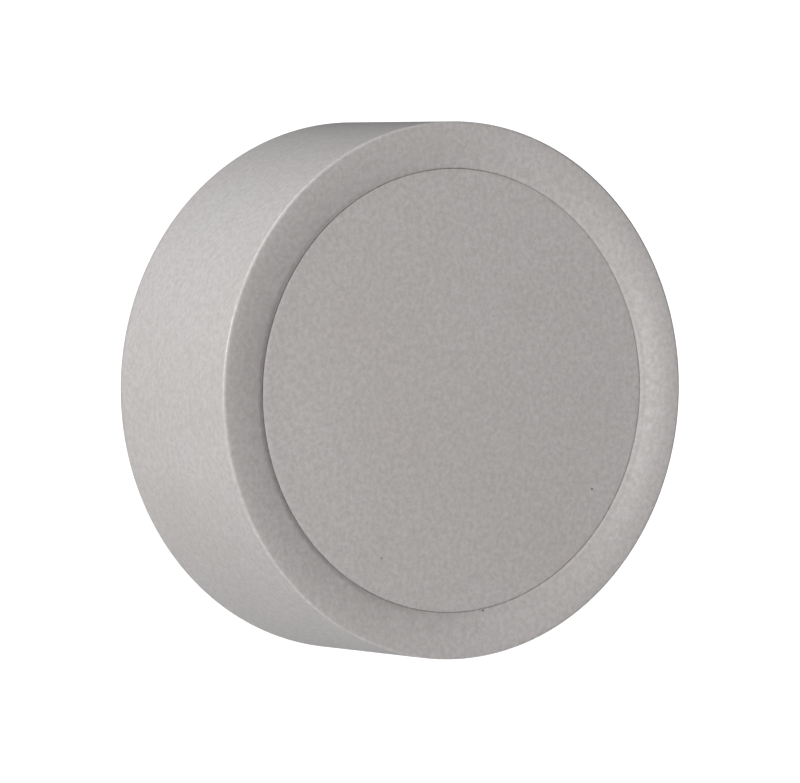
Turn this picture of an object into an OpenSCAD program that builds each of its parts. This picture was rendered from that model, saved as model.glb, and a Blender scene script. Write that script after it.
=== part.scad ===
// Concealed horizontal sidewall fire sprinkler head in a deep round wall escutcheon.
//
// Every sub-part is drawn on a common axis: x to the right, y up, z forward into the room,
// measured from the face of the pipe fitting. in_row_frame() then turns z onto -Y, so that
// the finished head faces -Y, +Z is up, and the origin is the centre of the fitting face.

/* [Escutcheon shell] */
// Outside diameter of the shell at its front rim
face_d = 84; // [80:0.5:88]
// Growth of the diameter from the front rim to the wall edge
shell_draft = 2.5; // [0:0.5:4]
// Depth of the shell from the wall to the front rim
shell_depth = 32.5; // [32:0.5:36]
// Diameter of the round mouth that the cover plate sits in
mouth_d = 69.5; // [69:0.1:71]
// Wall thickness of the shell
shell_wall = 1.2; // [1:0.1:1.4]
// Radius of the rolled lip around the mouth
lip_r = 1.7; // [1.5:0.1:3]
// Slope that the lip reaches at the mouth's edge, in degrees
lip_slope = 42; // [35:1:50]
// Width of the ledge behind the plate's edge
ledge_w = 0.7; // [0.4:0.1:0.9]
// Slope of the crowned rim next to the lip, in degrees
crown_slope = 9.5; // [8:0.5:14]
// Radius of the outer front edge
rim_r = 0.45; // [0.3:0.05:1]

/* [Cover plate] */
// Thickness of the cover plate
plate_t = 0.8; // [0.6:0.05:0.9]
// Depth of the plate's face below the front rim
plate_recess = 1.0; // [0.9:0.05:1.2]
// Radial air gap between the plate and the mouth
plate_gap = 0.15; // [0.1:0.05:0.6]

/* [Inlet] */
// Major diameter of the inlet pipe thread
thread_d = 20.96; // [20.6:0.02:21.3]
// Pitch of the inlet pipe thread
thread_pitch = 1.814; // [1.6:0.01:2]
// Length of the inlet thread
thread_len = 15; // [13:0.5:16]
// Diameter of the waterway in the inlet
waterway_d = 12.6; // [12:0.1:13]
// Diameter of the discharge orifice
orifice_d = 11; // [10.6:0.1:11.2]
// Width across the flats of the wrench hexagon
hex_af = 25; // [24:0.5:27]

/* [Support cup] */
// Distance from the fitting face to the wall surface
wall_s = 30; // [29:0.5:31]
// Outside diameter of the support cup
cup_d = 57.2; // [56.8:0.1:58]
// Sheet thickness of the support cup
cup_t = 0.9; // [0.8:0.1:1]

/* [Release mechanism] */
// Half distance between the lever fulcrums
fulcrum_x = 9.2; // [9.1:0.1:9.4]
// Length of each lever from its fulcrum to its tip
lever_len = 15.5; // [15:0.1:16]
// Height of the fusible link plates
link_h = 12; // [9:0.5:12]

/* [Deflector] */
// Distance of each guide pin from the axis
pin_y = 15.4; // [15.2:0.1:15.6]
// Diameter of the guide pins
pin_d = 3; // [2.8:0.1:3.1]
// Half width of the deflector plate
defl_half_w = 16; // [14:0.5:17]

/* [Hidden] */
$fn = 96;

// Finishes, as colours
PAINT = [0.74, 0.73, 0.71];
BRASS = [0.78, 0.62, 0.33];
BRONZE = [0.72, 0.50, 0.32];
STEEL = [0.62, 0.63, 0.65];
SPRING_STEEL = [0.50, 0.51, 0.53];
BLACK_STEEL = [0.16, 0.16, 0.17];
SOLDER = [0.70, 0.70, 0.68];
FILM = [0.90, 0.90, 0.86];

// Shell and cover plate stations
face_r = face_d / 2;
back_r = (face_d + shell_draft) / 2;
rim_s = wall_s + shell_depth;
mouth_r = mouth_d / 2;
collar_s = rim_s - 3;
plate_r = mouth_r - plate_gap;
plate_front = rim_s - plate_recess;
plate_back = plate_front - plate_t;
ledge_s = plate_back - 0.1;

// Retainer stations: a tube that slides into the cup, and a flat web behind the plate
web_front = plate_back - 2.4;
web_t = 0.8;
tube_or = cup_d / 2 - cup_t - 0.3;
tube_t = 0.8;
tube_back = wall_s - 1;
dimple_r = 1.6;
dimple_s = wall_s + 3.5;
snug_gap = 0.05;
web_r = 40.3;
screw_ring_r = 38.5;
screw_angles = [45, 135, 225, 315];
boss_r = 1.8;
screw_r = 1;
finger_angles = [90, 210, 330];
finger_r = 28.2;
finger_len = 4;
finger_w = 6;
finger_t = 0.6;
solder_t = 0.2;

// Ejector leaf springs
ejector_angles = [30, 150, 270];
ejector_ring_r = 31;
ejector_w = 3.2;
ejector_len = 11;
ejector_t = 0.25;
eye_r = 0.45;
eye_s = web_front + 0.48;
eye_t = -5.5;

// Body stations
hex_len = 6;
cup_floor_s = hex_len + 1;
nozzle_thread_r = 11.2;
nozzle_r = 9.6;
shoulder_s = 15;
orifice_r = orifice_d / 2;
waterway_r = waterway_d / 2;
seat_s = 22;
seat_lip = 0.4;
seat_bore_r = orifice_r + 0.5;

// Guide pin housing stations
hub_r = 12;
flange_r = 20;
flange_back = 17.5;
flange_front = 20;
tower_r = 3.6;
tower_front = 31;
guide_back = 26;
guide_clearance = 0.05;
head_clearance = 0.15;

// Guide pins, drawn with the deflector stowed
travel = 16;
pin_r = pin_d / 2;
pin_head_r = 2.2;
pin_head_len = 1.5;
pin_head_s = guide_back - travel;

// Deflector stations
defl_back = 56;
defl_t = 1.2;
hood_y = 18.2;
hood_back = 45.5;
hood_half_w = 13;

// Release mechanism stations
fulcrum_s = 26.5;
fulcrum_r = 0.7;
rock_gap = 0.05;
lever_t = 1.3;
nose_s = 28.35;
nose_x = 1.5;
toe_len = 3.2;
tip_r = 1;
tip_x = fulcrum_x - fulcrum_r - rock_gap - lever_t / 2;
tip_s = fulcrum_s + lever_len;
hook_gap = 0.05;
link_t = 0.5;
link_solder_t = 0.1;
link_overlap = 4.6;
link_s = tip_s + tip_r + hook_gap;

// Cap stations
cap_r = 6.8;
cap_back = 23.55;
cap_front = 25;
cap_boss_r = 3.6;
cap_boss_front = 26.7;
load_head_back = 26.8;
load_head_front = 28.3;

// Points along an arc from angle a0 to a1
function arc(c, r, a0, a1, n = 8) =
    [for (i = [0:n]) let (a = a0 + (a1 - a0) * i / n) [c[0] + r * cos(a), c[1] + r * sin(a)]];

// Turns the forward axis onto -Y and leaves y pointing up
module in_row_frame() {
    rotate([90, 0, 0]) children();
}

// A ring or disc from radius r0 to r1, between two stations
module ring(r0, r1, s0, s1) {
    translate([0, 0, s0])
        difference() {
            cylinder(r = r1, h = s1 - s0);
            if (r0 > 0) translate([0, 0, -1]) cylinder(r = r0, h = s1 - s0 + 2);
        }
}

// Extrudes a profile drawn in (x, station) across a height in y
module across(height) {
    rotate([90, 0, 0]) linear_extrude(height, center = true) children();
}

// Places children at an angle on a ring, with their local x pointing outward
module on_ring(angle, radius) {
    rotate([0, 0, angle]) translate([radius, 0, 0]) children();
}

// ---------------------------------------------------------------- inlet body

// Thread drawn as plain V grooves with flat crests, and a full-diameter runout at the hexagon
module thread_profile(major_r, pitch, length, depth) {
    turns = floor((length - 1.2) / pitch) - 1;
    crest = pitch * 0.28;
    root = pitch * 0.12;
    slope = (pitch - crest - root) / 2;
    polygon(concat(
        [[0, 0], [major_r - depth, 0], [major_r, 1]],
        [for (i = [0:turns - 1]) let (s = 1 + crest + i * pitch) each [
            [major_r, s],
            [major_r - depth, s + slope],
            [major_r - depth, s + slope + root],
            [major_r, s + slope + root + slope]
        ]],
        [[major_r, length + 0.5], [0, length + 0.5]]
    ));
}

module body_outside() {
    translate([0, 0, -thread_len])
        rotate_extrude() thread_profile(thread_d / 2, thread_pitch, thread_len, 1.16);
    intersection() {
        cylinder(d = hex_af / cos(30), h = hex_len, $fn = 6);
        rotate_extrude()
            polygon([[0, 0], [hex_af / 2, 0], [hex_af / 2 + 1.8, 1], [hex_af / 2 + 1.8, hex_len - 1],
                     [hex_af / 2, hex_len], [0, hex_len]]);
    }
    translate([0, 0, hex_len]) cylinder(r = nozzle_thread_r, h = shoulder_s - hex_len);
    translate([0, 0, shoulder_s]) cylinder(r = nozzle_r, h = seat_s - shoulder_s);
    ring(seat_bore_r, seat_bore_r + 0.8, seat_s, seat_s + seat_lip);
}

module sprinkler_body() {
    color(BRASS)
    difference() {
        body_outside();
        translate([0, 0, -thread_len - 1]) cylinder(r = waterway_r, h = thread_len + 1 + 12);
        translate([0, 0, 12]) cylinder(r1 = waterway_r, r2 = orifice_r, h = 3);
        translate([0, 0, 14.9]) cylinder(r = orifice_r, h = 10);
        translate([0, 0, seat_s - 1]) cylinder(r = seat_bore_r, h = 3);
        translate([0, 0, -thread_len - 0.01]) cylinder(r1 = waterway_r + 1.2, r2 = waterway_r, h = 1.2);
        ring(nozzle_r - 0.6, nozzle_r + 2, flange_front, flange_front + 0.8);
        for (i = [1:4])
            ring(nozzle_thread_r - 0.5, nozzle_thread_r + 1, cup_floor_s + 3 + i, cup_floor_s + 3.4 + i);
    }
}

// ---------------------------------------------------------------- support cup

cup_r = cup_d / 2;
cup_mouth_s = wall_s + 12;
ridge_stations = [cup_mouth_s - 8.5, cup_mouth_s - 5.5, cup_mouth_s - 2.5];
ridge_h = 0.55;
ridge_half = 0.8;

function cup_wall(r) =
    [for (s = ridge_stations) each [[r, s - ridge_half], [r + ridge_h, s - ridge_half / 3],
                                    [r + ridge_h, s + ridge_half / 3], [r, s + ridge_half]]];
function reversed(list) = [for (i = [len(list) - 1:-1:0]) list[i]];

module cup_sheet() {
    rotate_extrude()
        polygon(concat(
            [[nozzle_thread_r + 0.03, cup_floor_s - 1]],
            arc([cup_r - 3, cup_floor_s + 2], 3, -90, 0),
            cup_wall(cup_r),
            [[cup_r, cup_mouth_s], [cup_r - cup_t, cup_mouth_s]],
            reversed(cup_wall(cup_r - cup_t)),
            arc([cup_r - 3, cup_floor_s + 2], 3 - cup_t, 0, -90),
            [[nozzle_thread_r + 0.03, cup_floor_s - 1 + cup_t]]
        ));
}

// Vent slots through the side, and round holes through the floor
module support_cup() {
    vent_w = 5;
    vent_back = cup_floor_s + 8;
    vent_len = 10;
    color(STEEL)
    difference() {
        cup_sheet();
        for (a = [22.5:45:337.5])
            rotate([0, 0, a]) {
                for (s = [vent_back, vent_back + vent_len])
                    translate([cup_r - 4, 0, s]) rotate([0, 90, 0]) cylinder(d = vent_w, h = 8);
                translate([cup_r - 4, -vent_w / 2, vent_back]) cube([8, vent_w, vent_len]);
            }
        for (a = [0:60:300])
            on_ring(a + 30, 20) translate([0, 0, cup_floor_s - 3]) cylinder(r = 2, h = 6);
    }
}

// Slotted ring nut that clamps the cup floor against the hexagon
module cup_nut() {
    nut_back = cup_floor_s - 1 + cup_t;
    color(BRASS)
    difference() {
        ring(nozzle_thread_r, 12.8, nut_back, nut_back + 3);
        for (a = [45:90:315])
            rotate([0, 0, a]) translate([11.9, -1, nut_back + 1.2]) cube([3, 2, 3]);
    }
}

// ---------------------------------------------------------------- guide pin housing

module lever_yoke() {
    post_x = fulcrum_x + 4;
    post_t = 2.4;
    yoke_h = 10;
    across(yoke_h) {
        translate([fulcrum_x, fulcrum_s]) circle(r = fulcrum_r);
        translate([fulcrum_x, fulcrum_s - fulcrum_r]) square([post_x + post_t - fulcrum_x, 2 * fulcrum_r]);
        translate([post_x, flange_front - 0.5]) square([post_t, fulcrum_s + fulcrum_r - flange_front + 0.5]);
    }
}

module guide_pin_housing() {
    color(BRASS)
    difference() {
        union() {
            ring(0, hub_r, shoulder_s, flange_front);
            ring(0, flange_r, flange_back, flange_front);
            for (side = [-1, 1])
                translate([0, side * pin_y, 0]) ring(0, tower_r, flange_back, tower_front);
            lever_yoke();
            mirror([1, 0, 0]) lever_yoke();
        }
        translate([0, 0, shoulder_s - 1]) cylinder(r = nozzle_r, h = flange_front - shoulder_s + 2);
        for (side = [-1, 1])
            translate([0, side * pin_y, 0]) {
                translate([0, 0, guide_back - 1])
                    cylinder(r = pin_r + guide_clearance, h = tower_front - guide_back + 2);
                translate([0, 0, flange_back - 1])
                    cylinder(r = pin_head_r + head_clearance, h = guide_back - flange_back + 1);
            }
        for (a = [45:90:315])
            on_ring(a, 15.6) translate([0, 0, flange_back - 1]) cylinder(r = 2.2, h = 5);
    }
}

// Open snap ring that holds the housing on the nozzle
module housing_clip() {
    color(SPRING_STEEL)
    difference() {
        ring(nozzle_r - 0.6, nozzle_r + 1.3, flange_front, flange_front + 0.8);
        translate([0, 0, flange_front - 1]) rotate([0, 0, 45]) translate([0, -1.5, 0]) cube([15, 3, 3]);
    }
}

// ---------------------------------------------------------------- cap, seal and load screw

module valve_cap() {
    color(BRASS)
    difference() {
        union() {
            ring(0, cap_r, cap_back, cap_front);
            ring(0, cap_boss_r, cap_front, cap_boss_front);
            ring(0, 3.1, seat_s - 0.4, cap_back);
        }
        translate([0, 0, cap_back]) cylinder(r = 1.9, h = 5);
    }
}

// Spring washer: a shallow cone between the seat lip and the cap
module belleville_seal() {
    outer = cap_r + 0.1;
    inner = 3.2;
    foot = seat_s + seat_lip + 0.08;
    color(SPRING_STEEL)
    rotate_extrude()
        polygon([[inner, cap_back - 0.4], [outer, foot], [outer, foot + 0.35], [inner, cap_back]]);
}

// Film that seals the spring washer on the seat lip
module seal_film() {
    color(FILM)
        ring(seat_bore_r, cap_r + 0.1, seat_s + seat_lip, seat_s + seat_lip + 0.08);
}

module load_screw() {
    color(STEEL)
    difference() {
        union() {
            ring(0, 1.9, cap_back, load_head_back);
            ring(0, 3.3, load_head_back, load_head_front);
        }
        translate([-0.5, -4, load_head_front - 0.7]) cube([1, 8, 2]);
    }
}

// ---------------------------------------------------------------- levers and fusible link

// Right-hand lever, in (x, station): it rocks round the fulcrum bead, its nose holds the
// load screw back, and its long arm is held in by the fusible link.
module lever_base_profile() {
    near = fulcrum_r + rock_gap;
    translate([fulcrum_x, fulcrum_s]) {
        difference() {
            intersection() {
                circle(r = near + lever_t);
                translate([-5, -5]) square([5, 5]);
            }
            circle(r = near);
        }
        translate([-0.01, -near - lever_t]) square([toe_len, lever_t]);
        translate([-near - lever_t, -0.01]) square([lever_t, 4]);
    }
    translate([nose_x, nose_s]) square([fulcrum_x - near - nose_x, lever_t]);
}

module lever_arm_profile() {
    translate([tip_x - lever_t / 2, nose_s]) square([lever_t, tip_s - nose_s]);
    translate([tip_x, tip_s]) circle(r = tip_r);
}

module lever() {
    across(9) lever_base_profile();
    across(5) lever_arm_profile();
}

module lever_right() {
    color(BRONZE) lever();
}

module lever_left() {
    color(BRONZE) mirror([1, 0, 0]) lever();
}

// Hook of a link plate: a curl round the outer side of the lever tip
module link_hook_profile() {
    inner = tip_r + hook_gap;
    outer = inner + link_t;
    translate([tip_x, tip_s])
        difference() {
            circle(r = outer);
            circle(r = inner);
            translate([-5, -5]) square([5, 5 + inner]);
            polygon([[0, 0], [5, -5 / tan(50)], [5, -5], [-5, -5], [-5, 0]]);
        }
}

module link_holes() {
    for (side = [-1, 1])
        translate([0, side * link_h / 3, link_s - 1]) cylinder(r = 0.8, h = 4);
}

// Rear plate, on the left lever
module link_plate_inner() {
    color(BRONZE)
    difference() {
        mirror([1, 0, 0]) {
            across(link_h) translate([-link_overlap, link_s]) square([tip_x + link_overlap - 1.2, link_t]);
            across(8) {
                link_hook_profile();
                translate([tip_x - 1.5, link_s]) square([1.55, link_t]);
            }
        }
        link_holes();
    }
}

// Front plate, on the right lever, with a step so that it lies over the rear plate
module link_plate_outer() {
    front = link_s + link_t + link_solder_t;
    step_x = link_overlap + 0.9;
    color(BRONZE)
    difference() {
        union() {
            across(link_h) {
                translate([-link_overlap, front]) square([step_x + 0.5 + link_overlap, link_t]);
                translate([step_x, link_s]) square([0.5, link_t + link_solder_t + 0.1]);
            }
            across(8) {
                link_hook_profile();
                translate([step_x, link_s]) square([tip_x - step_x + 0.05, link_t]);
            }
        }
        link_holes();
    }
}

module link_solder() {
    color(SOLDER)
    difference() {
        translate([-link_overlap, -link_h / 2, link_s + link_t]) cube([2 * link_overlap, link_h, link_solder_t]);
        link_holes();
    }
}

// ---------------------------------------------------------------- deflector and guide pins

// A round-ended slot from the edge of the plate towards its middle
module tine_slot(width, from, to) {
    hull_len = to - from;
    translate([from, 0]) circle(d = width);
    translate([from, -width / 2]) square([hull_len, width]);
}

module deflector_outline() {
    corner = 5;
    bottom = -18.6;
    top = 17;
    for (x = [-1, 1])
        for (y = [bottom + corner, top - corner])
            translate([x * (defl_half_w - corner), y]) circle(r = corner);
    translate([-defl_half_w, bottom + corner]) square([2 * defl_half_w, top - bottom - 2 * corner]);
    translate([-defl_half_w + corner, bottom]) square([2 * (defl_half_w - corner), top - bottom]);
    translate([-9, 0]) square([18, hood_y + defl_t]);
}

module deflector_slots() {
    for (side = [0, 180])
        rotate([0, 0, side])
            for (y = [-10.5, -5.25, 0, 5.25, 10.5])
                translate([0, y]) tine_slot(1.7, 9 + abs(y) * 0.15, 30);
    for (x = [-9.5, -5.8, 5.8, 9.5])
        translate([x, 0]) rotate([0, 0, -90]) tine_slot(1.7, 10.4 + abs(x) * 0.5, 30);
}

module deflector_hood() {
    corner = 3;
    length = defl_back + defl_t - hood_back;
    translate([0, hood_y + defl_t, hood_back])
        rotate([90, 0, 0])
            linear_extrude(defl_t) {
                for (x = [-1, 1]) translate([x * (hood_half_w - corner), corner]) circle(r = corner);
                translate([-hood_half_w + corner, 0]) square([2 * (hood_half_w - corner), corner + 1]);
                translate([-hood_half_w, corner]) square([2 * hood_half_w, length - corner]);
            }
}

module deflector() {
    color(BRONZE)
    difference() {
        union() {
            translate([0, 0, defl_back])
                linear_extrude(defl_t)
                    difference() {
                        deflector_outline();
                        deflector_slots();
                    }
            deflector_hood();
        }
        for (side = [-1, 1])
            translate([0, side * pin_y, defl_back - 1]) cylinder(r = pin_r, h = defl_t + 2);
    }
}

// Headed pin: the rear head stops in the housing, and the front end is riveted over
module guide_pin(side) {
    front = defl_back + defl_t;
    color(STEEL)
    translate([0, side * pin_y, 0]) {
        ring(0, pin_head_r, pin_head_s - pin_head_len, pin_head_s);
        ring(0, pin_r, pin_head_s, front);
        translate([0, 0, front]) cylinder(r1 = 2.4, r2 = 1.7, h = 0.9);
    }
}

module guide_pin_upper() {
    guide_pin(1);
}

module guide_pin_lower() {
    guide_pin(-1);
}

// Compression spring, swept along a helix with closed end turns
spring_r = 2.25;
spring_wire_r = 0.3;
spring_turns = 11;
spring_sides = 6;
spring_steps = 16;
spring_s0 = tower_front + spring_wire_r;
spring_len = defl_back - tower_front - 2 * spring_wire_r;
spring_dead = 1;

// Share of the height reached after t turns, flat over the end turns
function spring_rise(t) =
    let (wire = 2 * spring_wire_r * 1.02, live = spring_turns - 2 * spring_dead)
    t < spring_dead ? wire * t
    : t > spring_turns - spring_dead ? spring_len - wire * (spring_turns - t)
    : wire * spring_dead + (spring_len - 2 * wire * spring_dead) * (t - spring_dead) / live;

module compression_spring() {
    n = spring_turns * spring_steps;
    points = [for (i = [0:n]) let (t = i / spring_steps, a = 360 * t)
              for (j = [0:spring_sides - 1]) let (b = 360 * j / spring_sides)
              [(spring_r + spring_wire_r * cos(b)) * cos(a),
               (spring_r + spring_wire_r * cos(b)) * sin(a),
               spring_s0 + spring_rise(t) + spring_wire_r * sin(b)]];
    sides = [for (i = [0:n - 1]) for (j = [0:spring_sides - 1])
             let (k = (j + 1) % spring_sides, p = i * spring_sides, q = p + spring_sides)
             [p + j, q + j, q + k, p + k]];
    caps = [[for (j = [0:spring_sides - 1]) j],
            [for (j = [spring_sides - 1:-1:0]) n * spring_sides + j]];
    polyhedron(points, concat(sides, caps), convexity = 10);
}

module deflector_spring_upper() {
    color(SPRING_STEEL) translate([0, pin_y, 0]) compression_spring();
}

module deflector_spring_lower() {
    color(SPRING_STEEL) translate([0, -pin_y, 0]) compression_spring();
}

// ---------------------------------------------------------------- escutcheon

// The rim is crowned: it slopes in from the outer edge and rolls over the lip; a narrow
// ledge behind the plate's edge keeps dust and light out of the gap
module shell_profile() {
    draft = (back_r - face_r) / shell_depth;
    outer_slope = 2.5;
    corner = 0.12;
    rim_c = [face_r - rim_r + draft * rim_r, rim_s - rim_r];
    crown_out = rim_c + rim_r * [cos(90 + outer_slope), sin(90 + outer_slope)];
    lip_x = mouth_r + corner + (lip_r - corner) * sin(lip_slope);
    crown_in_x = lip_x - lip_r * sin(crown_slope);
    crown_r = (crown_out[0] - crown_in_x) / (sin(crown_slope) - sin(outer_slope));
    crown_c = crown_out - crown_r * [cos(90 + outer_slope), sin(90 + outer_slope)];
    crown_in = crown_c + crown_r * [cos(90 + crown_slope), sin(90 + crown_slope)];
    lip_c = crown_in - lip_r * [cos(90 + crown_slope), sin(90 + crown_slope)];
    corner_c = lip_c + (lip_r - corner) * [cos(90 + lip_slope), sin(90 + lip_slope)];
    polygon(concat(
        [[back_r - 0.3, wall_s], [back_r, wall_s + 0.3]],
        arc(rim_c, rim_r, 0, 90 + outer_slope),
        arc(crown_c, crown_r, 90 + outer_slope + 1, 90 + crown_slope - 1, 4),
        arc(lip_c, lip_r, 90 + crown_slope, 90 + lip_slope),
        arc(corner_c, corner, 95 + lip_slope, 180, 3),
        [[mouth_r, ledge_s], [mouth_r - ledge_w, ledge_s], [mouth_r - ledge_w, collar_s],
         [mouth_r + shell_wall, collar_s],
         [mouth_r + shell_wall, rim_s - shell_wall - 0.9],
         [face_r - shell_wall, rim_s - shell_wall],
         [back_r - shell_wall, wall_s]]
    ));
}

module escutcheon_shell() {
    color(PAINT)
    difference() {
        union() {
            rotate_extrude($fn = 160) shell_profile();
            for (a = screw_angles)
                on_ring(a, screw_ring_r) ring(0, boss_r, web_front, rim_s - shell_wall);
        }
        for (a = screw_angles)
            on_ring(a, screw_ring_r) translate([0, 0, web_front - 1]) cylinder(r = screw_r, h = 3.6);
    }
}

module solder_finger() {
    translate([finger_r, -finger_w / 2, web_front - 0.1])
        cube([finger_t, finger_w, plate_back - solder_t - web_front + 0.1]);
    translate([finger_r, -finger_w / 2, plate_back - solder_t - finger_t])
        cube([finger_len, finger_w, finger_t]);
}

// Flat web behind the rim, with three fingers that the cover plate is soldered to
module cover_retainer() {
    color(BRASS)
    difference() {
        union() {
            ring(tube_or, web_r, web_front - web_t, web_front);
            for (a = finger_angles) rotate([0, 0, a]) solder_finger();
        }
        for (a = [0, 60, 120, 180, 240, 300])
            on_ring(a, 33.5) translate([0, 0, web_front - 2]) cylinder(r = 1.8, h = 4);
        for (a = screw_angles)
            on_ring(a, screw_ring_r) translate([0, 0, web_front - 2]) cylinder(r = screw_r, h = 4);
    }
}

// Tube that slides in the cup: vent holes, six locating dimples, and a lip over the web's front
module retainer_tube() {
    tube_ir = tube_or - tube_t;
    lip_front = web_front + 0.4;
    color(BRASS)
    difference() {
        union() {
            ring(tube_ir, tube_or, tube_back, lip_front);
            ring(tube_ir, tube_or + 0.5, web_front, lip_front);
            for (a = [15:60:315])
                rotate([0, 0, a]) translate([cup_r - cup_t - snug_gap - dimple_r, 0, dimple_s]) sphere(r = dimple_r);
        }
        for (a = [15:60:315])
            rotate([0, 0, a]) translate([tube_ir - 4, -3, dimple_s - 3]) cube([4, 6, 6]);
        for (a = [0:30:330])
            rotate([0, 0, a]) translate([tube_ir - 2, 0, wall_s + 18]) rotate([0, 90, 0]) cylinder(r = 2.6, h = 6);
    }
}

module retainer_screws() {
    head_s = web_front - web_t;
    color(STEEL)
    for (a = screw_angles)
        on_ring(a, screw_ring_r)
            difference() {
                union() {
                    translate([0, 0, head_s - 1.3]) cylinder(r1 = 1.4, r2 = 1.75, h = 1.3);
                    ring(0, screw_r, head_s, web_front + 2.6);
                }
                for (turn = [0, 90])
                    rotate([0, 0, turn]) translate([-1, -0.2, head_s - 2]) cube([2, 0.4, 1.3]);
            }
}

// Places a leaf spring: local x is tangential, y is radial and z is the station
module at_ejector(i) {
    rotate([0, 0, ejector_angles[i] - 90]) translate([0, ejector_ring_r, 0]) children();
}

module ejector_spring(i) {
    rise = plate_back - 0.3 - eye_s;
    slope = atan(rise / ejector_len);
    color(SPRING_STEEL)
    at_ejector(i)
        across(ejector_w) {
            translate([eye_t, eye_s]) circle(r = eye_r);
            translate([eye_t, eye_s]) rotate([0, 0, slope])
                translate([0, -ejector_t / 2]) square([ejector_len / cos(slope), ejector_t]);
            translate([eye_t + ejector_len, eye_s + rise]) circle(r = 0.24);
        }
}

module ejector_spring_1() {
    ejector_spring(0);
}

module ejector_spring_2() {
    ejector_spring(1);
}

module ejector_spring_3() {
    ejector_spring(2);
}

// Small clips that hold the rolled eyes of the leaf springs down on the web
module spring_clips() {
    color(BRASS)
    for (i = [0:2])
        at_ejector(i)
            across(ejector_w + 1)
                difference() {
                    translate([eye_t - 0.95, web_front]) square([1.1, 1.3]);
                    translate([eye_t, eye_s]) circle(r = eye_r + 0.05);
                    translate([eye_t, web_front - 1]) square([2, 1.9]);
                }
}

// ---------------------------------------------------------------- cover plate

module cover_plate() {
    edge = 0.2;
    color(PAINT)
    rotate_extrude($fn = 160)
        polygon(concat(
            [[0, plate_back], [plate_r - 0.15, plate_back], [plate_r, plate_back + 0.15]],
            arc([plate_r - edge, plate_front - edge], edge, 0, 90),
            [[0, plate_front]]
        ));
}

module cover_solder() {
    margin = 0.4;
    color(SOLDER)
    for (a = finger_angles)
        rotate([0, 0, a])
            translate([finger_r + margin, -finger_w / 2 + margin, plate_back - solder_t])
                cube([finger_len - 2 * margin, finger_w - 2 * margin, solder_t]);
}

// ---------------------------------------------------------------- nodes

in_row_frame() {
    sprinkler_body();
    support_cup();
    cup_nut();
    guide_pin_housing();
    housing_clip();
    deflector_spring_upper();
    deflector_spring_lower();
    valve_cap();
    belleville_seal();
    seal_film();
    load_screw();
    lever_left();
    lever_right();
    link_plate_inner();
    link_plate_outer();
    link_solder();
    deflector();
    guide_pin_upper();
    guide_pin_lower();
    escutcheon_shell();
    cover_retainer();
    retainer_tube();
    retainer_screws();
    spring_clips();
    cover_plate();
    cover_solder();
    ejector_spring_1();
    ejector_spring_2();
    ejector_spring_3();
}
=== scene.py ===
"""Looks for the concealed sidewall fire sprinkler head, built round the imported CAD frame.

Sizes are in mm unless a name or a docstring says otherwise. A place is given as x across, y up
and s, the station forward of the fitting face along the head's axis; at() turns it into the
frame's metres. A lathed profile is a list of (radius, station).
"""

import math

import bmesh
import bpy
from mathutils import Matrix, Vector


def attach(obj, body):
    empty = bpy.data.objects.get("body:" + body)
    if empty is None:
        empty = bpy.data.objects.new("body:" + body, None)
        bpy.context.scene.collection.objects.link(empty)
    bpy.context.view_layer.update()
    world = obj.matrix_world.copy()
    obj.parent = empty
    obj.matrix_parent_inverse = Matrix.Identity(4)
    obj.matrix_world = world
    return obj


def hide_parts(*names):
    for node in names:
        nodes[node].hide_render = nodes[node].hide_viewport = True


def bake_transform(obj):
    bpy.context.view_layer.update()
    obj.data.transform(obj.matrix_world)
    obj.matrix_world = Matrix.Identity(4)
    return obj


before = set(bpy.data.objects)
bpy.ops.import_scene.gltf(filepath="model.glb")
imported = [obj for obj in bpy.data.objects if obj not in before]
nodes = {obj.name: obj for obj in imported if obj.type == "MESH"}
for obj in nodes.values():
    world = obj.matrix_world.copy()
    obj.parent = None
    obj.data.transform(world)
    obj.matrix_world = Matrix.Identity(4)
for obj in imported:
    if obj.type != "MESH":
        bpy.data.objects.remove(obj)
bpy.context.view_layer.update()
scene = bpy.context.scene
MM = 0.001

# ------------------------------------------------------------------ key sizes, as in the CAD

FACE_R, BACK_R = 42.0, 43.25            # drum, at the rim and at the wall
WALL_S, RIM_S = 30.0, 62.5              # wall plane and top of the rim
SHELL_T = 1.2
MOUTH_R, LEDGE_R = 34.73, 34.05         # mouth, and the ledge behind the plate
LIP_R, RIM_R = 2.2, 0.45                # rolled inner lip and outer edge of the rim
PLATE_R = 34.69                         # the coating leaves only a fine line round the plate
PLATE_FRONT, PLATE_BACK = 61.5, 60.7
WEB_FRONT = 58.3                        # front face of the retainer's web
PIN_Y = 15.4                            # guide pins, above and below the axis
LATHE_SIDES = 288


def at(x, y, s):
    """A point given across, up and forward of the fitting face, in mm, in the frame's metres."""
    return Vector((x * MM, -s * MM, y * MM))


# ------------------------------------------------------------------ shader helpers


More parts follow.
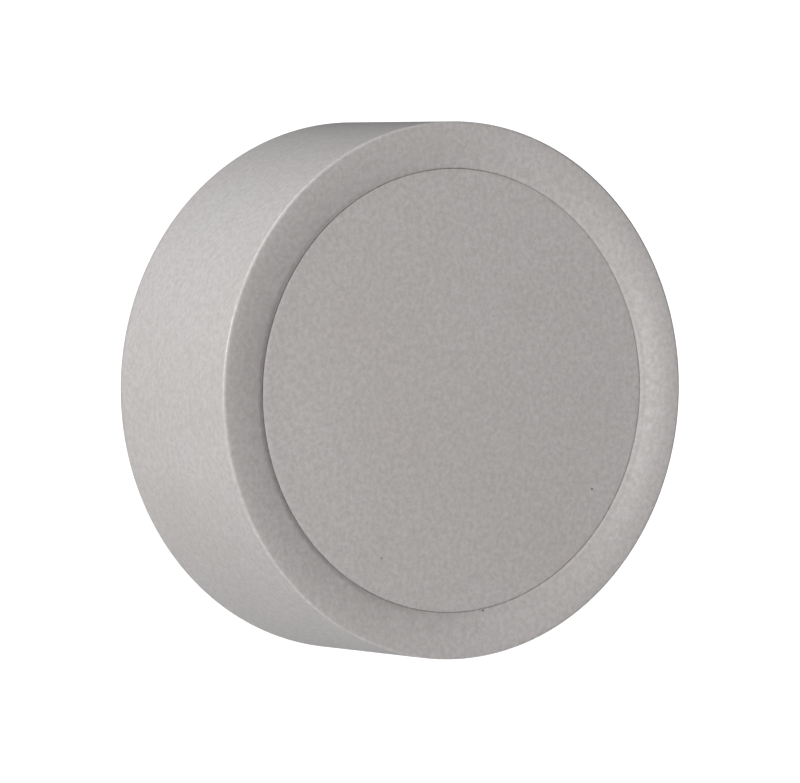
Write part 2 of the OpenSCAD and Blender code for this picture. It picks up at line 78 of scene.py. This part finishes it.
class Graph:
    """A material with one Principled shader, and short ways to wire nodes into it."""

    def __init__(self, name, rough, metal=0.0, spec=0.5):
        self.mat = bpy.data.materials.new(name)
        self.mat.use_nodes = True
        self.tree = self.mat.node_tree
        self.tree.nodes.clear()
        out = self.node("ShaderNodeOutputMaterial")
        self.bsdf = self.node("ShaderNodeBsdfPrincipled")
        self.link(self.bsdf.outputs["BSDF"], out.inputs["Surface"])
        self.bsdf.inputs["Roughness"].default_value = rough
        self.bsdf.inputs["Metallic"].default_value = metal
        self.bsdf.inputs["Specular IOR Level"].default_value = spec
        self.place = self.node("ShaderNodeTexCoord").outputs["Object"]

    def node(self, kind, **values):
        n = self.tree.nodes.new(kind)
        for key, value in values.items():
            setattr(n, key, value)
        return n

    def link(self, a, b):
        self.tree.links.new(a, b)

    def feed(self, socket, value):
        """Gives an input another node's output, a colour without its alpha, or a number."""
        if isinstance(value, bpy.types.NodeSocket):
            self.link(value, socket)
        elif isinstance(value, tuple):
            socket.default_value = (*value, 1.0)
        else:
            socket.default_value = value

    def stretched(self, sx, sy, sz):
        """Coordinates scaled axis by axis, so that a noise makes drawing marks."""
        m = self.node("ShaderNodeMapping")
        m.inputs["Scale"].default_value = (sx, sy, sz)
        self.link(self.place, m.inputs["Vector"])
        return m.outputs["Vector"]

    def turned(self):
        """Coordinates of radius and station, so that a noise makes marks round the main axis."""
        split = self.node("ShaderNodeSeparateXYZ")
        self.link(self.place, split.inputs["Vector"])
        flat = self.node("ShaderNodeCombineXYZ")
        self.link(split.outputs["X"], flat.inputs["X"])
        self.link(split.outputs["Z"], flat.inputs["Y"])
        length = self.node("ShaderNodeVectorMath", operation="LENGTH")
        self.link(flat.outputs["Vector"], length.inputs[0])
        out = self.node("ShaderNodeCombineXYZ")
        self.link(length.outputs["Value"], out.inputs["X"])
        self.link(split.outputs["Y"], out.inputs["Y"])
        return out.outputs["Vector"]

    def noise(self, scale, detail=2.0, rough=0.5, vector=None):
        n = self.node("ShaderNodeTexNoise")
        n.inputs["Scale"].default_value = scale
        n.inputs["Detail"].default_value = detail
        n.inputs["Roughness"].default_value = rough
        self.link(vector or self.place, n.inputs["Vector"])
        return n.outputs["Fac"]

    def cells(self, scale):
        """Voronoi cells: the distance to each cell's centre, and a random number for each cell."""
        n = self.node("ShaderNodeTexVoronoi")
        n.inputs["Scale"].default_value = scale
        self.link(self.place, n.inputs["Vector"])
        pick = self.node("ShaderNodeSeparateColor")
        self.link(n.outputs["Color"], pick.inputs["Color"])
        return n.outputs["Distance"], pick.outputs["Red"]

    def ramp(self, fac, stops):
        """A colour for a factor, from stops of (position, colour)."""
        r = self.node("ShaderNodeValToRGB")
        while len(r.color_ramp.elements) < len(stops):
            r.color_ramp.elements.new(0.5)
        for element, (position, colour) in zip(r.color_ramp.elements, stops):
            element.position = position
            element.color = (*colour, 1.0)
        self.link(fac, r.inputs["Fac"])
        return r.outputs["Color"]

    def grey(self, fac, low, high, at_low, at_high):
        """Maps a factor's range low to high onto the values at_low to at_high, and clamps it."""
        m = self.node("ShaderNodeMapRange")
        m.inputs["From Min"].default_value = low
        m.inputs["From Max"].default_value = high
        m.inputs["To Min"].default_value = at_low
        m.inputs["To Max"].default_value = at_high
        self.link(fac, m.inputs["Value"])
        return m.outputs["Result"]

    def mix(self, fac, a, b):
        m = self.node("ShaderNodeMix", data_type="RGBA")
        for name, value in (("Factor", fac), ("A", a), ("B", b)):
            self.feed(m.inputs[name], value)
        return m.outputs["Result"]

    def product(self, a, b):
        m = self.node("ShaderNodeMath", operation="MULTIPLY")
        self.feed(m.inputs[0], a)
        self.feed(m.inputs[1], b)
        return m.outputs["Value"]

    def colour(self, value):
        self.link(value, self.bsdf.inputs["Base Color"])

    def roughness(self, value):
        self.link(value, self.bsdf.inputs["Roughness"])

    def bump(self, *layers, edge=0.0):
        """Layers of (height, strength, distance in mm) over edges worn round by edge mm."""
        last = None
        if edge:
            worn = self.node("ShaderNodeBevel", samples=4)
            worn.inputs["Radius"].default_value = edge * MM
            last = worn.outputs["Normal"]
        for height, strength, distance in layers:
            b = self.node("ShaderNodeBump")
            b.inputs["Strength"].default_value = strength
            b.inputs["Distance"].default_value = distance * MM
            self.link(height, b.inputs["Height"])
            if last:
                self.link(last, b.inputs["Normal"])
            last = b.outputs["Normal"]
        self.link(last, self.bsdf.inputs["Normal"])


# ------------------------------------------------------------------ materials


def painted_white():
    """Powder coat: fine orange peel, a grain of pigment, soft mottling and a few dark specks."""
    g = Graph("powder_coat_white", 0.32)
    mottle = g.noise(38, 3.0, 0.55)
    grain = g.noise(1250, 3.0, 0.75)
    peel = g.noise(1500)
    warm, plain, cool = (0.636, 0.610, 0.604), (0.648, 0.626, 0.622), (0.658, 0.642, 0.640)
    pigment, speck_colour = (0.46, 0.44, 0.435), (0.07, 0.06, 0.055)
    base = g.ramp(mottle, [(0.3, warm), (0.5, plain), (0.72, cool)])
    base = g.mix(g.grey(grain, 0.34, 0.66, 0.0, 0.60), base, pigment)
    distance, lot = g.cells(150)
    near = g.grey(distance, 0.022, 0.034, 1.0, 0.0)
    rare = g.grey(lot, 0.40, 0.41, 0.0, 0.85)
    g.colour(g.mix(g.product(near, rare), base, speck_colour))
    g.roughness(g.grey(grain, 0.3, 0.7, 0.30, 0.36))
    g.bump((peel, 0.28, 0.022), (grain, 0.2, 0.008))
    return g.mat


def metal(name, light, dark, rough, turned=False, drawn=None, patina=0.35, peen=0.0):
    """Bare metal with tarnish in patches, fine scratches, and turning or drawing marks."""
    g = Graph(name, rough, metal=1.0)
    blotch = g.noise(95, 4.0, 0.62)
    fine = g.noise(900, 3.0, 0.6)
    between = tuple((a + b) / 2 for a, b in zip(light, dark))
    tarnish = g.ramp(blotch, [(0.32, dark), (0.5, between), (0.66, light)])
    pits = g.grey(fine, 0.62, 0.74, 0.0, 0.35)
    g.colour(g.mix(pits, g.mix(patina, light, tarnish), tuple(c * 0.45 for c in dark)))
    g.roughness(g.grey(g.noise(420, 3.0, 0.55), 0.3, 0.7, rough - 0.07, rough + 0.12))
    layers = [(fine, 0.12, 0.010)]
    if turned:
        layers.append((g.noise(5200, 2.0, 0.6, g.turned()), 0.28, 0.012))
    if drawn:
        layers.append((g.noise(1.0, 2.0, 0.6, g.stretched(*drawn)), 0.22, 0.010))
    if peen:
        layers.append((g.noise(330), peen, 0.05))
    g.bump(*layers, edge=0.12)
    return g.mat


def solder():
    """Dull low-melting solder: frosted grey, lumpy, with darker skin in patches."""
    g = Graph("solder_dull", 0.5, metal=1.0)
    skin = g.noise(900, 4.0, 0.65)
    dull, plain, bright = (0.26, 0.25, 0.24), (0.47, 0.46, 0.45), (0.66, 0.65, 0.63)
    g.colour(g.ramp(skin, [(0.3, dull), (0.52, plain), (0.75, bright)]))
    g.roughness(g.grey(skin, 0.3, 0.7, 0.62, 0.38))
    g.bump((g.noise(420), 0.4, 0.08), (skin, 0.25, 0.02))
    return g.mat


def film():
    """Fluoropolymer film: milky, slightly waxy."""
    g = Graph("seal_film_ptfe", 0.38, spec=0.4)
    haze = g.noise(600, 3.0)
    g.colour(g.ramp(haze, [(0.3, (0.70, 0.70, 0.66)), (0.7, (0.84, 0.84, 0.81))]))
    g.roughness(g.grey(haze, 0.3, 0.7, 0.3, 0.46))
    g.bump((haze, 0.15, 0.01))
    return g.mat


PAINT = painted_white()
BRASS_TURNED = metal("brass_turned", (0.83, 0.62, 0.30), (0.52, 0.34, 0.14), 0.27, turned=True)
BRASS_SHEET = metal("brass_sheet", (0.80, 0.60, 0.31), (0.48, 0.32, 0.14), 0.34,
                    drawn=(900, 90, 2600), patina=0.45)
BRONZE = metal("bronze_stamped", (0.72, 0.43, 0.24), (0.36, 0.19, 0.10), 0.33,
               drawn=(2600, 900, 160), patina=0.5)
ZINC = metal("zinc_plated_steel", (0.66, 0.68, 0.71), (0.40, 0.42, 0.45), 0.32,
             turned=True, patina=0.5, peen=0.02)
STEEL = metal("steel_turned", (0.64, 0.64, 0.65), (0.40, 0.40, 0.41), 0.24, turned=True)
SPRING = metal("spring_wire", (0.50, 0.50, 0.52), (0.25, 0.25, 0.27), 0.26,
               drawn=(1800, 260, 1800))
SOLDER = solder()
FILM = film()

FINISHES = (
    (PAINT, ("escutcheon_shell", "cover_plate")),
    (BRASS_TURNED, ("sprinkler_body", "cup_nut", "valve_cap")),
    (BRASS_SHEET, ("guide_pin_housing", "cover_retainer", "retainer_tube", "spring_clips")),
    (ZINC, ("support_cup",)),
    (BRONZE, ("deflector", "lever_left", "lever_right", "link_plate_inner", "link_plate_outer")),
    (STEEL, ("load_screw", "guide_pin_upper", "guide_pin_lower", "retainer_screws")),
    (SPRING, ("deflector_spring_upper", "deflector_spring_lower", "ejector_spring_1",
              "ejector_spring_2", "ejector_spring_3", "housing_clip", "belleville_seal")),
    (SOLDER, ("link_solder", "cover_solder")),
    (FILM, ("seal_film",)),
)
for finish, names in FINISHES:
    for name in names:
        nodes[name].data.materials.clear()
        nodes[name].data.materials.append(finish)

# ------------------------------------------------------------------ mesh helpers


def unit(deg):
    return math.cos(math.radians(deg)), math.sin(math.radians(deg))


def move(point, distance, deg):
    """The flat point at a distance and a direction in degrees from another."""
    c, s = unit(deg)
    return point[0] + distance * c, point[1] + distance * s


def arc(centre, radius, first, last, steps):
    """Points along an arc between two directions in degrees."""
    return [move(centre, radius, first + (last - first) * i / steps) for i in range(steps + 1)]


def new_object(name, bm, material, sharp=32):
    """Turns a bmesh into an object whose smooth shading breaks at edges over sharp degrees."""
    bmesh.ops.recalc_face_normals(bm, faces=bm.faces)
    for f in bm.faces:
        f.smooth = True
    for e in bm.edges:
        if len(e.link_faces) == 2 and e.calc_face_angle(0.0) > math.radians(sharp):
            e.smooth = False
    mesh = bpy.data.meshes.new(name)
    bm.to_mesh(mesh)
    bm.free()
    mesh.materials.append(material)
    obj = bpy.data.objects.new(name, mesh)
    scene.collection.objects.link(obj)
    return obj


def lathe(bm, rows, sides, closed=True, centre=(0.0, 0.0)):
    """A skin through rows of (radius, station). A radius may be a function of the angle in
    degrees. A closed skin joins its last row to its first."""
    rings = []
    for radius, s in rows:
        ring = []
        for i in range(sides):
            deg = 360 * i / sides
            x, y = move(centre, radius(deg) if callable(radius) else radius, deg)
            ring.append(bm.verts.new(at(x, y, s)))
        rings.append(ring)
    pairs = list(zip(rings, rings[1:])) + ([(rings[-1], rings[0])] if closed else [])
    for a, b in pairs:
        for i in range(sides):
            j = (i + 1) % sides
            bm.faces.new((a[i], a[j], b[j], b[i]))
    return rings


def cap_ring(bm, ring):
    """Closes a ring with a fan round its centre."""
    hub = bm.verts.new(sum((v.co for v in ring), Vector()) / len(ring))
    for i, v in enumerate(ring):
        bm.faces.new((v, ring[(i + 1) % len(ring)], hub))


def clamp(value):
    return max(0.0, min(1.0, value))


# ------------------------------------------------------------------ escutcheon shell and plate


def shell_profile():
    """The drum's section: tapered wall, crowned rim, rolled lip, mouth, ledge and inside.
    Slopes are in degrees from the face. Some arcs stop short of their tangent points, so that
    no two rows fall together."""
    slope_out, slope_in, slope_lip, corner = 2.5, 9.5, 41.0, 0.08
    back_edge, ledge_ease, ledge_depth, crown_t = 0.35, 0.1, 3.0, 2.1
    draft = (BACK_R - FACE_R) / (RIM_S - WALL_S)

    rim_c = (FACE_R - RIM_R + draft * RIM_R, RIM_S - RIM_R)
    crown_out = move(rim_c, RIM_R, 90 + slope_out)
    lip_x = MOUTH_R + corner + (LIP_R - corner) * unit(slope_lip)[1]
    crown_in_x = lip_x - LIP_R * unit(slope_in)[1]
    crown_r = (crown_out[0] - crown_in_x) / (unit(slope_in)[1] - unit(slope_out)[1])
    crown_c = move(crown_out, -crown_r, 90 + slope_out)
    lip_c = move(move(crown_c, crown_r, 90 + slope_in), -LIP_R, 90 + slope_in)
    corner_c = move(lip_c, LIP_R - corner, 90 + slope_lip)

    rows = [(BACK_R - SHELL_T, WALL_S), (BACK_R - back_edge, WALL_S),
            (BACK_R - 0.12, WALL_S + 0.1)]
    rows += [(BACK_R - draft * depth, WALL_S + depth)
             for depth in (back_edge, 1.0, 4.0, 10.0, 18.0, 26.0, 31.2)]
    rows += arc(rim_c, RIM_R, 2.2, 90 + slope_out, 12)
    rows += arc(crown_c, crown_r, 90 + slope_out + 0.6, 90 + slope_in - 0.4, 10)
    rows += arc(lip_c, LIP_R, 90 + slope_in, 90 + slope_lip - 1.0, 14)
    rows += arc(corner_c, corner, 92 + slope_lip, 180, 5)
    rows += [(MOUTH_R, PLATE_BACK + ledge_ease), (MOUTH_R - 0.04, PLATE_BACK - 0.06),
             (MOUTH_R - 0.12, PLATE_BACK - ledge_ease), (LEDGE_R + 0.12, PLATE_BACK - ledge_ease),
             (LEDGE_R, PLATE_BACK - 2 * ledge_ease), (LEDGE_R, RIM_S - ledge_depth),
             (MOUTH_R + SHELL_T, RIM_S - ledge_depth), (MOUTH_R + SHELL_T, RIM_S - crown_t),
             (FACE_R - SHELL_T, RIM_S - SHELL_T)]
    return rows


def shell():
    """The painted drum, with four hollow screw posts that stand on the retainer's web."""
    ring_r, post_r, bore_r, top_s, ease = 38.5, 1.8, 1.0, 61.2, 0.2
    post = [(bore_r, top_s), (bore_r, WEB_FRONT), (post_r - 0.18, WEB_FRONT),
            (post_r, WEB_FRONT + ease), (post_r, top_s)]
    bm = bmesh.new()
    lathe(bm, shell_profile(), LATHE_SIDES)
    for deg in (45, 135, 225, 315):
        lathe(bm, post, 40, centre=move((0.0, 0.0), ring_r, deg))
    obj = new_object("shell_skin", bm, PAINT)
    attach(obj, "escutcheon")
    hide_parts("escutcheon_shell")


def plate():
    """The painted disc, pressed very slightly hollow inside its turned edge."""
    edge, chamfer, hollow = 0.1, 0.15, 0.02
    rows = [(20.0, PLATE_BACK), (PLATE_R - chamfer, PLATE_BACK), (PLATE_R, PLATE_BACK + chamfer)]
    rows += arc((PLATE_R - edge, PLATE_FRONT - edge), edge, 0, 90, 10)
    rows += [(33.9, PLATE_FRONT), (33.2, PLATE_FRONT - 0.6 * hollow)]
    rows += [(radius, PLATE_FRONT - hollow) for radius in (30.0, 22.0, 12.0, 4.0)]
    bm = bmesh.new()
    rings = lathe(bm, rows, LATHE_SIDES, closed=False)
    cap_ring(bm, rings[0])
    cap_ring(bm, rings[-1])
    obj = new_object("plate_skin", bm, PAINT)
    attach(obj, "cover")
    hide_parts("cover_plate")


shell()
plate()

# ------------------------------------------------------------------ sprinkler body


def saw(turn, crest, root):
    """Thread section: 1 on the crest, 0 in the root, straight flanks between, over one pitch."""
    p = turn % 1.0
    flank = (1 - crest - root) / 2
    if p < crest:
        return 1.0
    if p < crest + flank:
        return 1 - (p - crest) / flank
    if p < crest + flank + root:
        return 0.0
    return (p - crest - flank - root) / flank


INLET_R, INLET_PITCH = 10.48, 1.814     # 1/2 in pipe thread
NUT_R, NUT_PITCH = 11.2, 1.0            # fine thread of the ring nut


def inlet_thread(s):
    """The radius round the inlet at a station: full thread from tip_s to the run-out."""
    depth, tip_s, end_s, runout = 1.16, -14.0, -2.4, 0.9

    def radius(deg):
        fade = clamp((end_s - s + deg / 360 * runout) / runout)
        cut = depth * fade * (1 - saw((s - tip_s) / INLET_PITCH - deg / 360, 0.28, 0.12))
        return min(INLET_R - cut, INLET_R - depth * max(0.0, tip_s - s))

    return radius


def nut_thread(s):
    """The radius round the nut's thread at a station."""
    depth, end_s, runout = 0.45, 14.3, 0.5

    def radius(deg):
        fade = clamp((end_s - s + deg / 360 * runout) / runout)
        return NUT_R - depth * fade * (1 - saw(s / NUT_PITCH - deg / 360, 0.3, 0.15))

    return radius


def body():
    """The brass body, from the inlet over the hexagon to the valve seat and back down the bore."""
    inlet_s, inlet_step = -15.0, INLET_PITCH / 12
    hex_flat, hex_rise, hex_h, hex_bevel_r = 12.5, 1.8, 6.0, 12.4
    nut_s, nut_step = 6.9, NUT_PITCH / 10
    neck_r, neck_s, neck_end = 9.6, 15.0, 22.0
    groove_r, groove_back, groove_front = 9.0, 20.0, 20.8
    seat_r, seat_s, orifice_r, waterway_r = 6.0, 22.4, 5.5, 6.3

    def hexagon(limit):
        return lambda deg: min(hex_flat / unit(deg % 60 - 30)[0], limit)

    def bevelled(stations):
        return [(hexagon(hex_flat + hex_rise * min(s, hex_h - s)), s) for s in stations]

    rows = [(inlet_thread(inlet_s + inlet_step * i), inlet_s + inlet_step * i) for i in range(86)]
    rows += [(INLET_R, -1.6), (INLET_R, -0.02), (INLET_R, 0.0), (hex_bevel_r, 0.0)]
    rows += bevelled((0.0, 0.25, 0.5, 0.75, 1.0))
    rows += [(hexagon(hex_flat + hex_rise), hex_h / 2)]
    rows += bevelled((5.0, 5.25, 5.5, 5.75, 6.0))
    rows += [(hex_bevel_r, hex_h), (NUT_R, hex_h), (NUT_R, 6.6)]
    rows += [(nut_thread(nut_s + nut_step * i), nut_s + nut_step * i) for i in range(78)]
    rows += [(NUT_R, neck_s - 0.2), (NUT_R - 0.2, neck_s), (neck_r, neck_s)]
    # the snap ring's groove
    rows += [(neck_r, groove_back - 0.02), (neck_r - 0.02, groove_back),
             (groove_r, groove_back + 0.02), (groove_r, groove_front - 0.02),
             (neck_r - 0.02, groove_front), (neck_r, groove_front + 0.05)]
    rows += [(neck_r, neck_end - 0.3), (neck_r - 0.3, neck_end)]
    # the raised valve seat
    rows += [(seat_r + 0.85, neck_end), (seat_r + 0.8, neck_end + 0.03),
             (seat_r + 0.8, seat_s - 0.08), (seat_r + 0.7, seat_s), (seat_r + 0.1, seat_s),
             (seat_r, seat_s - 0.1), (seat_r, 21.0)]
    # the orifice and the waterway, back to the inlet
    rows += [(orifice_r, 20.95), (orifice_r, neck_s), (waterway_r, 12.0),
             (waterway_r, inlet_s + 1.2), (waterway_r + 1.2, inlet_s)]
    bm = bmesh.new()
    lathe(bm, rows, 144)
    obj = new_object("body_skin", bm, BRASS_TURNED, 28)
    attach(obj, "inlet_body")
    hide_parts("sprinkler_body")


body()

# ------------------------------------------------------------------ deflector springs


def spring(name, y):
    """A compression spring with closed end turns. A blend weight is worked out for every ring of
    the wire, but it is not stored on the mesh."""
    turns, steps, sides, coil_r, wire_r, start, length = 11, 28, 12, 2.25, 0.3, 31.3, 24.4
    closed_rise = 2 * wire_r * 1.02
    tip_taper = 0.62

    def rise(t):
        if t < 1:
            return closed_rise * t
        if t > turns - 1:
            return length - closed_rise * (turns - t)
        return closed_rise + (length - 2 * closed_rise) * (t - 1) / (turns - 2)

    bm = bmesh.new()
    rings, share = [], []
    for i in range(turns * steps + 1):
        t = i / steps
        c, d = math.cos(math.tau * t), math.sin(math.tau * t)
        thick = wire_r * (tip_taper if i in (0, turns * steps) else 1.0)
        ring = []
        for j in range(sides):
            b = math.tau * j / sides
            r, s = coil_r + thick * math.cos(b), start + rise(t) + thick * math.sin(b)
            ring.append(bm.verts.new(at(r * c, y + r * d, s)))
            share.append(clamp((t - 1) / (turns - 2)))
        rings.append(ring)
    for a, b in zip(rings, rings[1:]):
        for j in range(sides):
            n = (j + 1) % sides
            bm.faces.new((a[j], b[j], b[n], a[n]))
    bm.faces.new(rings[0])
    bm.faces.new(rings[-1])
    obj = new_object(name + "_wire", bm, SPRING, 60)
    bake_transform(obj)
    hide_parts(name)


spring("deflector_spring_upper", PIN_Y)
spring("deflector_spring_lower", -PIN_Y)

# ------------------------------------------------------------------ camera


def photo_camera():
    """A long lens 31 degrees to the left of the head's axis and a little above it, six face
    diameters off, aimed slightly left of the middle of the rim."""
    turn, dip = math.radians(31.04), math.radians(1.59)
    face_d = 2 * FACE_R * MM
    shift_left, shift_down, far = 0.114 * face_d, 0.001 * face_d, 6.0 * face_d
    # the head's axis as the camera sees it, and from that the camera's own axes
    nx, ny, nz = math.sin(turn) * math.cos(dip), -math.sin(dip), math.cos(turn) * math.cos(dip)
    k = math.hypot(nx, nz)
    right = Vector((nz / k, -nx, -nx * ny / k))
    up = Vector((0.0, -ny, k))
    back = Vector((-nx / k, -nz, -ny * nz / k))

    camera = bpy.data.objects.new("camera", bpy.data.cameras.new("camera"))
    camera.data.lens = 145.3
    camera.data.sensor_width = 36.0
    camera.data.clip_start, camera.data.clip_end = 0.02, 50.0
    spot = at(0, 0, RIM_S) - right * shift_left - up * shift_down + back * far
    basis = Matrix((right, up, back)).transposed().to_4x4()
    camera.matrix_world = Matrix.Translation(spot) @ basis
    scene.collection.objects.link(camera)
    return camera


scene.camera = photo_camera()
scene.view_settings.view_transform = "Standard"
scene.view_settings.look = "Medium High Contrast"

# ------------------------------------------------------------------ world, lights and floor


def studio_world():
    """White where the camera looks past the floor, and only a faint light on the object."""
    world = bpy.data.worlds.new("studio")
    scene.world = world
    world.use_nodes = True
    tree = world.node_tree
    tree.nodes.clear()
    out = tree.nodes.new("ShaderNodeOutputWorld")
    mix = tree.nodes.new("ShaderNodeMixShader")
    path = tree.nodes.new("ShaderNodeLightPath")
    seen = tree.nodes.new("ShaderNodeBackground")
    lit = tree.nodes.new("ShaderNodeBackground")
    seen.inputs["Color"].default_value = (1, 1, 1, 1)
    seen.inputs["Strength"].default_value = 1.0
    lit.inputs["Color"].default_value = (0.97, 0.98, 1.0, 1)
    lit.inputs["Strength"].default_value = 0.05
    tree.links.new(path.outputs["Is Camera Ray"], mix.inputs["Fac"])
    tree.links.new(lit.outputs["Background"], mix.inputs[1])
    tree.links.new(seen.outputs["Background"], mix.inputs[2])
    tree.links.new(mix.outputs["Shader"], out.inputs["Surface"])


def area_light(name, watts, tint):
    """An area light that the camera doesn't see."""
    data = bpy.data.lights.new(name, "AREA")
    data.energy = watts
    data.color = tint
    obj = bpy.data.objects.new(name, data)
    obj.visible_camera = False
    scene.collection.objects.link(obj)
    return obj


def softbox(name, off, turn, size, watts, tint, far=1.4):
    """A rectangle of light, sizes in metres, off the head's axis by one angle and turned round
    it by the other, aimed at the middle of the drum."""
    obj = area_light(name, watts, tint)
    obj.data.shape = "RECTANGLE"
    obj.data.size, obj.data.size_y = size
    (off_c, off_s), (turn_c, turn_s) = unit(off), unit(turn)
    way = Vector((off_s * turn_c, -off_c, off_s * turn_s))
    obj.location = at(0, 0, 50) + way * far
    obj.rotation_euler = way.to_track_quat("Z", "Y").to_euler()


def pale_floor():
    """A plain matt disc well below the head, with a wide wash of light just above it that shines
    down on the floor only. Sizes in metres."""
    floor_r, floor_z, wash_d, wash_z = 3.6, -0.8, 9.2, -0.4
    wash = area_light("floor_wash", 77.0, (1.0, 1.0, 1.0))
    wash.data.shape, wash.data.size = "DISK", wash_d
    wash.location = (0, 0, wash_z)

    look = Graph("floor_pale", 0.9, spec=0.0)
    pale, paler = (0.82, 0.82, 0.82), (0.86, 0.86, 0.86)
    look.colour(look.ramp(look.noise(1.5), [(0.3, pale), (0.7, paler)]))
    bm = bmesh.new()
    bmesh.ops.create_circle(bm, cap_ends=True, radius=floor_r, segments=96)
    mesh = bpy.data.meshes.new("floor")
    bm.to_mesh(mesh)
    bm.free()
    mesh.materials.append(look.mat)
    floor = bpy.data.objects.new("floor", mesh)
    floor.location = (0, 0, floor_z)
    scene.collection.objects.link(floor)


studio_world()
softbox("key_left", 66, 165, (0.36, 0.45), 10.0, (1.0, 1.0, 0.98))
softbox("front_right", 17, -4, (0.24, 0.24), 2.6, (1.0, 0.955, 0.945))
softbox("side_high", 88, 128, (0.40, 0.40), 2.1, (0.98, 0.98, 1.0), far=0.75)
pale_floor()
